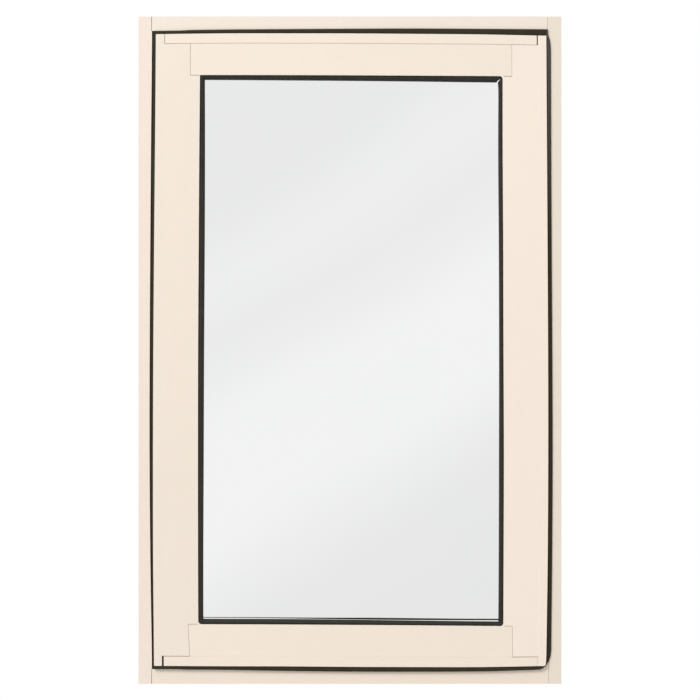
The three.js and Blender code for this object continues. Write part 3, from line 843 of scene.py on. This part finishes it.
def gasketInner(side, share):  # a point on its inner line, on the mirror
    shape = gasketShape
    lines = gasketLines("inner")
    sign = 1 if side in ("right", "top") else -1
    if side in ("left", "right"):
        place = lines["top"] + (lines["bottom"] - lines["top"]) * share
        across, down = doorShares(Vector((lines[side], 0, place)))
        ends = (strayAt(shape["top"], across), -strayAt(shape["bottom"], across))
        opened = -shape["lean"] * max(0, 1 - share / shape["leanLength"]) if side == "right" else 0
        x = lines[side] + sign * (strayAt(shape[side], down) + opened)
        return Vector((x, 0, place + between(share, (0, 1), ends)))
    place = lines["left"] + (lines["right"] - lines["left"]) * share
    across, down = doorShares(Vector((place, 0, lines[side])))
    ends = (-strayAt(shape["left"], down), strayAt(shape["right"], down))
    opened = shape["openMitre"] * max(0, 1 - (1 - share) / shape["mitreLength"]) if side == "top" else 0
    x = place + between(share, (0, 1), ends) - shape["mitreSlip"] * opened
    return Vector((x, 0, lines[side] + sign * (strayAt(shape[side], across) + opened)))


def makeGasket(side):
    rings = []
    nearEnd = [0, 0.0012, 0.0026, 0.0042, 0.0062, 0.009, 0.014]  # closer together round the corners
    shares = nearEnd + steps(0.03, 0.97, 34) + [1 - share for share in reversed(nearEnd)]
    front, rest = doorLow.y + gasketShape["front"], doorLow.y + gasketShape["rest"]
    for share in shares:
        outer = gasketOuter(side, share)
        inner = gasketInner(side, share)
        ring = []
        for f, t in gasketProfile:
            p = outer.lerp(inner, f)
            ring.append(Vector((p.x, front + (rest - front) * t, p.z)))
        rings.append(ring)
    bm = bmesh.new()
    loft(bm, rings)
    # the lower strip also gets a dark lip that paints its reflection in the mirror
    if side == "bottom":
        addReflectionLip(bm, rest)
    addPiece(f"{side}GlazingGasket", bm, "door", gasketRubber[side],
             [f"glazing_gasket_{side}"], sharp=50)


# A thin dark rubber lip lying on the mirror beside the lower strip, a painted reflection of the strip's edge;
# its values run from left to right
gasketReflectionLip = {
    "thickness": (0.95, 1.0, 1.3, 1.9, 2.6, 2.6, 2.2, 2.0),
    "gap": (1.7, 1.6, 1.15, 0.8, 0.75, 1.0, 1.45, 2.0),
    "section": ((0, 0), (0.12, 0.7), (0.5, 1.0), (0.88, 0.7), (1, 0)),  # share of its thickness, its rise
    "count": 60,
}


def addReflectionLip(bm, rest):
    rings = []
    for share in steps(0, 1, gasketReflectionLip["count"]):
        base = gasketInner("bottom", share)
        low = base.z + strayAt(gasketReflectionLip["gap"], share)
        thick = strayAt(gasketReflectionLip["thickness"], share)
        rings.append([Vector((base.x, rest - lift, low + thick * part))
                      for part, lift in gasketReflectionLip["section"]])
    loft(bm, rings)


for side in ("left", "right", "top", "bottom"):
    makeGasket(side)
print("glazing gasket made")


# Outer edges of the rubber; the inner edges follow the door
sealShape = {
    "bite": 0.3,  # how far it sits under the door's edge
    "crown": (0.7, 0.8),  # how square the upper and lower rubber's section is, across and in depth
    "topFront": 2.5,  # behind the door's front face
    "bottomFront": 0.8,
    "back": 4.7,
    "topOver": 0.25,  # of the upper rubber over the top panel's edge
    "bottomOver": 0.25,
    "pivotClear": 0.65,  # how far it keeps back near the pivot, so the door can swing
    "clearFrom": 14,
    "clearOver": 16,
    "hingeFront": 6.0,
    "hingeBack": 16.5,
    "swingClearance": 0.45,
    "hingeEnd": (1.8, 2.8),  # how far its upper end turns in, and over what height
    "hingeTuck": 1.2,
    "lap": (3.0, 3.4, 4.1, 5.0, 5.5, 4.7, 3.3),  # of the opening side's rubber over the side panel
    "lapFront": 2.1,
    "lapTop": (5, 14),  # how far below the opening's top the lap starts, and over what height it grows
    "footTurn": 24,  # height over which its lower end turns in, and how far
    "footDraw": 12.5,
}


def ovalRing(x, inner, outer, front, back):  # crowned section between the door's edge and the carcass
    across, deep = sealShape["crown"]
    ring = []
    count = 20
    for k in range(count):
        a = 2 * math.pi * k / count
        c, s = math.cos(a), math.sin(a)
        f = 0.5 - 0.5 * math.copysign(abs(c) ** across, c)
        t = 0.5 - 0.5 * math.copysign(abs(s) ** deep, s)
        ring.append(Vector((x, front + (back - front) * t, inner + (outer - inner) * f)))
    return ring


def makeLevelSeal(side):
    top = side == "top"
    rings = []
    front, back = doorLow.y + sealShape[f"{side}Front"], doorLow.y + sealShape["back"]
    for x0 in steps(doorLow.x, doorHigh.x, 60):
        edge = bendDoor(Vector((x0, doorLow.y, doorHigh.z if top else doorLow.z)))
        if top:
            reach = openingTopAt(edge.x) + sealShape["topOver"]
        else:
            reach = openingBottomAt(edge.x) - sealShape["bottomOver"]
        fromPivot = (x0 - pivotX - sealShape["clearFrom"]) / sealShape["clearOver"]
        clear = sealShape["pivotClear"] * (1 - softStep(fromPivot))
        reach += -clear if top else clear
        inner = edge.z + (sealShape["bite"] if top else -sealShape["bite"])
        rings.append(ovalRing(edge.x, inner, reach, front, back))
    bm = bmesh.new()
    loft(bm, rings)
    addPiece(f"{side}DoorSeal", bm, "door", sealRubber, [f"door_seal_{side}"], sharp=50)


def makeHingeSeal():
    head = boxOf("door_seal_left")[1].z
    foot = openingBottomAt(openLeft + 3) + 0.1  # just clear of the bottom panel
    front, back = doorLow.y + sealShape["hingeFront"], doorLow.y + sealShape["hingeBack"]
    turn, turnHeight = sealShape["hingeEnd"]
    rings = []
    for z in steps(head, head - 3, 6) + steps(head - 12, foot, 60):
        held = min(max(z, doorLow.z), doorHigh.z)
        edge = bendDoor(Vector((doorLow.x, doorLow.y, held))).x - sealShape["bite"]
        fromEnd = min(max((head - z) / turnHeight, 0), 1)
        turned = turn * (1 - math.sqrt(1 - (1 - fromEnd) ** 2))
        radius = pivotX - openingLeftAt(z) - sealShape["swingClearance"] - turned
        ring = [Vector((edge, back, z)), Vector((edge, front, z))]
        for t in (0.0, 0.08, 0.2, 0.4, 0.6, 0.8, 1.0):  # round the pivot, so that it never rubs
            y = front + (back - front) * t
            x = pivotX - math.sqrt(max(radius ** 2 - (y - pivotY) ** 2, 0))
            tuck = sealShape["hingeTuck"] * (1 - min(t / 0.2, 1)) ** 2
            ring.append(Vector((min(x + tuck, edge - 0.2), y, z)))
        rings.append(ring)
    bm = bmesh.new()
    loft(bm, rings)
    addPiece("hingeDoorSeal", bm, "door", sealRubber, ["door_seal_left"], sharp=50)


def makeOpeningSeal():
    head = boxOf("door_seal_right")[1].z
    crown = sealShape["lapFront"]
    lapStart, lapGrow = sealShape["lapTop"]
    rings = []
    for z in steps(head, doorLow.z + 0.4, 120):
        held = min(max(z, doorLow.z), doorHigh.z)
        inner = bendDoor(Vector((doorHigh.x, doorLow.y, held))).x + sealShape["bite"]
        side = openingRightAt(z)
        lap = strayAt(sealShape["lap"], (openTop - z) / (openTop - openBottom))
        grown = softStep((openTop - lapStart - z) / lapGrow)
        turn = min(max((z - doorLow.z) / sealShape["footTurn"], 0), 1)
        drawn = sealShape["footDraw"] * (1 - math.sqrt(1 - (1 - turn) ** 2))
        outer = max(side + lap * grown - drawn, inner + 0.9)
        reach = min(max(side - 0.4, inner + 0.4), outer)
        w = outer - inner
        # from the door's edge over the crown to the lap, then back along the side panel
        ring = [(inner, 13), (inner, 3.0), (inner + 0.1 * w, crown + 0.9), (inner + 0.25 * w, crown + 0.3),
                (inner + 0.45 * w, crown), (inner + 0.65 * w, crown + 0.15), (inner + 0.82 * w, crown + 0.6),
                (inner + 0.94 * w, crown + 1.3), (outer, crown + 2.1), (outer - 0.1, 4.1),
                (max(outer - 0.5, reach), 4.6), (reach, 4.65), (reach, 12.4), (reach - 0.3, 13)]
        rings.append([Vector((x, doorLow.y + t, z)) for x, t in ring])
    bm = bmesh.new()
    loft(bm, rings)
    addPiece("openingDoorSeal", bm, "door", openingRubber, ["door_seal_right"], sharp=50)


makeLevelSeal("top")
makeLevelSeal("bottom")
makeHingeSeal()
makeOpeningSeal()
print("door seal made")


pivotShape = {
    "pin": 2.0,  # radius
    "tipChamfer": 0.5,
    "collar": 3.8,  # radius, and the heights where it starts and ends
    "collarHeights": (3.3, 9.2),
    "collarEdge": 0.3,
}


def makePivotPin(level):
    node = f"{level}_pivot_pin"
    low, high = boxOf(node)
    up = 1 if level == "lower" else -1
    foot = low.z if up > 0 else high.z
    length = high.z - low.z
    r = pivotShape["pin"]
    c = pivotShape["tipChamfer"]
    profile = [(r, 0)]
    if level == "lower":
        w, e = pivotShape["collar"], pivotShape["collarEdge"]
        start, end = pivotShape["collarHeights"]
        profile += [(r, start), (w - e, start), (w, start + e), (w, end - e), (w - e, end), (r, end)]
    profile += [(r, length - c), (r - c * 0.4, length - c * 0.25), (r - c, length)]
    bm = bmesh.new()
    turnOn(bm, profile, Vector((pivotX, pivotY, foot)), (0, 0, up))
    addPiece(f"{level}PivotPin", bm, "carcass", pinSteel, [node])


for level in ("lower", "upper"):
    keepNode(f"{level}_pivot_plate", plateSteel, 0.4, 3)
    keepNode(f"{level}_pivot_bush", bushNylon, 0.3)
    makePivotPin(level)
print("pivots made")


latchShape = {
    "plunger": ((1.9, 0.25), (2.2, 0.25), (2.3, 0), (2.7, 0), (3.2, 0.5), (3.2, 3), (3.5, 3), (3.7, 3.25),
                (3.7, 8), (3.45, 8.3), (3.45, 9.1), (3.7, 9.4)),  # radius, distance from its tip
    "plungerEdge": 0.3,
    "wire": 0.45,
    "turns": 6,
    "turnPoints": 28,
    "closedEnd": 0.04,  # share of the spring's length that stays free at each end
    "travel": 2.5,
}


def makePlunger(level):
    node = f"{level}_latch_plunger"
    low, high = boxOf(node)
    x, z = (low.x + high.x) / 2, (low.z + high.z) / 2
    length = high.y - low.y
    profile = list(latchShape["plunger"])
    radius, e = profile[-1][0], latchShape["plungerEdge"]
    profile += [(radius, length - e), (radius - e, length)]
    bm = bmesh.new()
    turnOn(bm, profile, Vector((x, low.y, z)), (0, 1, 0), 40)
    addPiece(f"{level}LatchPlunger", bm, f"{level}_plunger", pinSteel, [node])


def makeSpring(level):
    node = f"{level}_latch_spring"
    low, high = boxOf(node)
    x, z = (low.x + high.x) / 2, (low.z + high.z) / 2
    wire = latchShape["wire"]
    radius = (high.x - low.x) / 2 - wire
    length = high.y - low.y
    free = latchShape["closedEnd"]
    count = latchShape["turnPoints"] * latchShape["turns"]
    path = []
    for i in range(count + 1):
        share = i / count
        risen = free + (1 - 2 * free) * (share * 0.75 + 0.25 * softStep(share))  # tighter at both ends
        a = 2 * math.pi * latchShape["turns"] * share
        y = low.y + wire + (length - 2 * wire) * risen
        path.append(Vector((x + radius * math.cos(a), y, z + radius * math.sin(a))))
    bm = bmesh.new()
    tube(bm, path, wire)
    spring = addPiece(f"{level}LatchSpring", bm, "carcass", springSteel, [node], sharp=60)
    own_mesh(spring)


for level in ("lower", "upper"):
    keepNode(f"{level}_latch_housing", latchPlastic, 0.7, 3)
    keepNode(f"{level}_strike_plate", plateSteel, 0.35, 3)
    makePlunger(level)
    makeSpring(level)
print("push latches made")


screwShape = {
    "head": 3.0,
    "rise": 0.25,
    "slotLength": 3.4,
    "slotWidth": 0.7,
    "slotDepth": 1.0,
    # size, first screw's turn in degrees, and how much further each next one is turned
    "plate": (0.8, 20, 55),
    "latch": (0.85, 35, 70),
    "strike": (0.75, 10, 40),
    "board": (1.25, 15, 47),
}


def carve(bm, cutters):  # the body with other bodies taken out of it
    def holder(source):
        mesh = bpy.data.meshes.new("carving")
        bmesh.ops.recalc_face_normals(source, faces=source.faces)
        source.to_mesh(mesh)
        source.free()
        made = bpy.data.objects.new("carving", mesh)
        bpy.context.scene.collection.objects.link(made)
        return made

    target = holder(bm)
    tools = [holder(cutter) for cutter in cutters]
    for tool in tools:
        boolean = target.modifiers.new("cut", "BOOLEAN")
        boolean.operation = "DIFFERENCE"
        boolean.solver = "EXACT"
        boolean.object = tool
    bpy.context.view_layer.update()
    shaped = target.evaluated_get(bpy.context.evaluated_depsgraph_get())
    result = bmesh.new()
    result.from_mesh(shaped.to_mesh())
    shaped.to_mesh_clear()
    for made in [target] + tools:
        mesh = made.data
        bpy.data.objects.remove(made)
        bpy.data.meshes.remove(mesh)
    return result


def blockOf(low, high):
    (x0, y0, z0), (x1, y1, z1) = low, high
    bm = bmesh.new()
    loft(bm, [[Vector((x, y, z)) for x, y in ((x0, y0), (x1, y0), (x1, y1), (x0, y1))] for z in (z0, z1)])
    return bm


def screwHead():  # a countersunk head with a cross recess, facing +Z at the origin
    r = screwShape["head"]
    rise = screwShape["rise"]
    profile = [(1.2, -2.4), (r - 0.25, -0.45), (r, -0.2), (r, 0), (r - 0.3, rise * 0.55), (r * 0.55, rise),
               (0.3, rise)]
    head = bmesh.new()
    turnOn(head, profile, Vector((0, 0, 0)), (0, 0, 1), 36)
    a, b, d = screwShape["slotLength"] / 2, screwShape["slotWidth"] / 2, screwShape["slotDepth"]
    return carve(head, [blockOf((-a, -b, -d), (a, b, 2)), blockOf((-b, -a, -d), (b, a, 2.1))])


def addScrews(name, kind, places, facing, body):
    size, turn, step = screwShape[kind]
    aim = Vector(facing).to_track_quat("Z", "Y").to_matrix().to_4x4()
    for k, place in enumerate(places):
        bm = screwHead()
        spin = Matrix.Rotation(math.radians(turn + step * k), 4, "Z")
        stand = Matrix.Translation(Vector(place)) @ aim @ spin @ Matrix.Scale(size, 4)
        bmesh.ops.transform(bm, matrix=stand, verts=bm.verts)
        addPiece(f"{name}Screw{k + 1}", bm, body, screwSteel, sharp=30)


for level, sign in (("lower", 1), ("upper", -1)):
    low, high = boxOf(f"{level}_pivot_plate")
    z = (high.z if sign > 0 else low.z) - sign * 0.05
    places = [(pivotX + along, pivotY + 3, z) for along in (10, 22)]
    addScrews(f"{level}Plate", "plate", places, (0, 0, sign), "carcass")
    low, high = boxOf(f"{level}_latch_housing")
    places = [(low.x - 0.05, (low.y + high.y) / 2, z) for z in (low.z + 3.5, high.z - 3.5)]
    addScrews(f"{level}Latch", "latch", places, (-1, 0, 0), "carcass")
    low, high = boxOf(f"{level}_strike_plate")
    places = [((low.x + high.x) / 2, high.y - 0.1, z) for z in (low.z + 6, high.z - 6)]
    addScrews(f"{level}Strike", "strike", places, (0, 1, 0), "door")


hangingShape = {
    "screwPlaces": (-240, -80, 80, 240),
    "sinkRadius": 4.4,
    "sinkDepth": 3.4,
    "screwSink": 0.6,  # how far the heads lie below the wood
    "arris": 0.9,
}


def makeHangingBoard(node, name, finish, drop):  # a wooden board screwed on from behind
    low, high = boxOf(node)
    z = high.z - drop
    cones = []
    for x in hangingShape["screwPlaces"]:
        cone = bmesh.new()
        r, depth = hangingShape["sinkRadius"], hangingShape["sinkDepth"]
        turnOn(cone, [(r - depth, -depth), (r, 0), (r, 1)], Vector((x, high.y, z)), (0, 1, 0), 28)
        cones.append(cone)
    board = carve(copyOf(node), cones)
    addPiece(name, board, "carcass", finish, [node], hangingShape["arris"])
    places = [(x, high.y - hangingShape["screwSink"], z) for x in hangingShape["screwPlaces"]]
    addScrews(name, "board", places, (0, 1, 0), "carcass")


makeHangingBoard("cabinet_cleat", "cabinetCleat", cleatWood, 12)
makeHangingBoard("lower_batten", "lowerBatten", battenWood, 25)
print("screws made")


stageLook = {
    "floorDrop": 1680,  # below the door's middle, in millimetres
    "floor": ((-12, -9), (12, 6.6)),  # corners, in metres like the light's place and size
    "floorTones": ((0.82, 0.815, 0.80), (0.80, 0.795, 0.78)),
    "keyPlace": (-4.4, -5.4, 6.0),
    "keySize": 4.0,
    "keyPower": 820,
    "keyColour": (1.0, 0.985, 0.96),
    "roomLight": 0.645,  # strength of the even light from all round
    "cameraDistance": 3000,
    "frameWidth": 993.26,  # width seen at the carcass front
    "cameraShift": (0.1, 0.25),  # to the right of and above the door's middle
    # the room's bands: brightness across them, how they slant and waver, and where they start and end
    "bands": ((0.23, 0.905), (0.325, 0.950), (0.396, 0.918), (0.52, 0.985), (0.612, 0.985), (0.77, 0.893),
              (0.87, 0.884)),
    "bandSlant": 0.65,
    "bandWander": 0.03,
    "bandStart": 0.2,
    "bandSpan": 0.4,
}


def makeFloor():
    (x0, y0), (x1, y1) = stageLook["floor"]
    z = (doorMid.z - stageLook["floorDrop"]) * mm
    bm = bmesh.new()
    bm.faces.new([bm.verts.new((x, y, z)) for x, y in ((x0, y0), (x1, y0), (x1, y1), (x0, y1))])
    mesh = bpy.data.meshes.new("floor")
    bm.to_mesh(mesh)
    bm.free()
    mesh.materials.append(twoTone("paleFloor", stageLook["floorTones"], (0.6, 0.75), 1.5))
    floor = bpy.data.objects.new("floor", mesh)
    bpy.context.scene.collection.objects.link(floor)


def makeKeyLight():
    data = bpy.data.lights.new("keyLight", "AREA")
    data.shape = "SQUARE"
    data.size = stageLook["keySize"]
    data.energy = stageLook["keyPower"]
    data.color = stageLook["keyColour"]
    light = bpy.data.objects.new("keyLight", data)
    bpy.context.scene.collection.objects.link(light)
    light.location = stageLook["keyPlace"]
    target = Vector((0, carcassFront, doorMid.z)) * mm
    light.rotation_euler = (target - light.location).to_track_quat("-Z", "Y").to_euler()


def makeWorld():  # an even white room with faint diagonal bands in front of the mirror
    world = bpy.data.worlds.new("whiteRoom")
    world.use_nodes = True
    bpy.context.scene.world = world
    tree = world.node_tree
    make = tree.nodes.new
    link = tree.links.new
    background = tree.nodes["Background"]

    def calc(kind, a, b):
        made = make("ShaderNodeMath")
        made.operation = kind
        for value, socket in ((a, made.inputs[0]), (b, made.inputs[1])):
            if isinstance(value, (int, float)):
                socket.default_value = value
            else:
                link(value, socket)
        return made.outputs[0]

    direction = make("ShaderNodeTexCoord").outputs["Generated"]
    parts = make("ShaderNodeSeparateXYZ")
    link(direction, parts.inputs[0])
    ahead = calc("MAXIMUM", calc("MULTIPLY", parts.outputs["Y"], -1), 0.05)
    right = calc("DIVIDE", parts.outputs["X"], ahead)
    up = calc("DIVIDE", parts.outputs["Z"], ahead)
    slant = calc("SUBTRACT", calc("MULTIPLY", right, stageLook["bandSlant"]), up)
    cloud = make("ShaderNodeTexNoise")
    cloud.inputs["Scale"].default_value = 6
    cloud.inputs["Detail"].default_value = 1
    link(direction, cloud.inputs["Vector"])
    wander = calc("MULTIPLY", calc("SUBTRACT", cloud.outputs["Fac"], 0.5), stageLook["bandWander"])
    start = calc("ADD", calc("ADD", slant, wander), stageLook["bandStart"])
    place = calc("DIVIDE", start, stageLook["bandSpan"])
    ramp = make("ShaderNodeValToRGB")
    ramp.color_ramp.interpolation = "EASE"
    stops = stageLook["bands"]
    while len(ramp.color_ramp.elements) < len(stops):
        ramp.color_ramp.elements.new(0.5)
    for element, (at, value) in zip(ramp.color_ramp.elements, stops):
        element.position = at
        element.color = (value, value, value * 1.004, 1)
    link(place, ramp.inputs["Fac"])
    seen = make("ShaderNodeLightPath")
    choose = make("ShaderNodeMix")
    choose.data_type = "RGBA"
    link(seen.outputs["Is Camera Ray"], choose.inputs[0])
    link(ramp.outputs["Color"], choose.inputs[6])
    choose.inputs[7].default_value = (1, 1, 1, 1)
    link(choose.outputs[2], background.inputs["Color"])
    dimmed = calc("MULTIPLY", seen.outputs["Is Diffuse Ray"], stageLook["roomLight"] - 1)
    link(calc("ADD", dimmed, 1), background.inputs["Strength"])


def makeCamera():
    data = bpy.data.cameras.new("camera")
    data.sensor_width = 36
    data.lens = data.sensor_width * stageLook["cameraDistance"] / stageLook["frameWidth"]
    camera = bpy.data.objects.new("camera", data)
    bpy.context.scene.collection.objects.link(camera)
    right, up = stageLook["cameraShift"]
    camera.location = Vector((right, carcassFront - stageLook["cameraDistance"], doorMid.z + up)) * mm
    camera.rotation_euler = (math.radians(90), 0, 0)
    bpy.context.scene.camera = camera


makeFloor()
makeKeyLight()
makeWorld()
makeCamera()
bpy.context.scene.view_settings.view_transform = "Standard"
print("stage made")
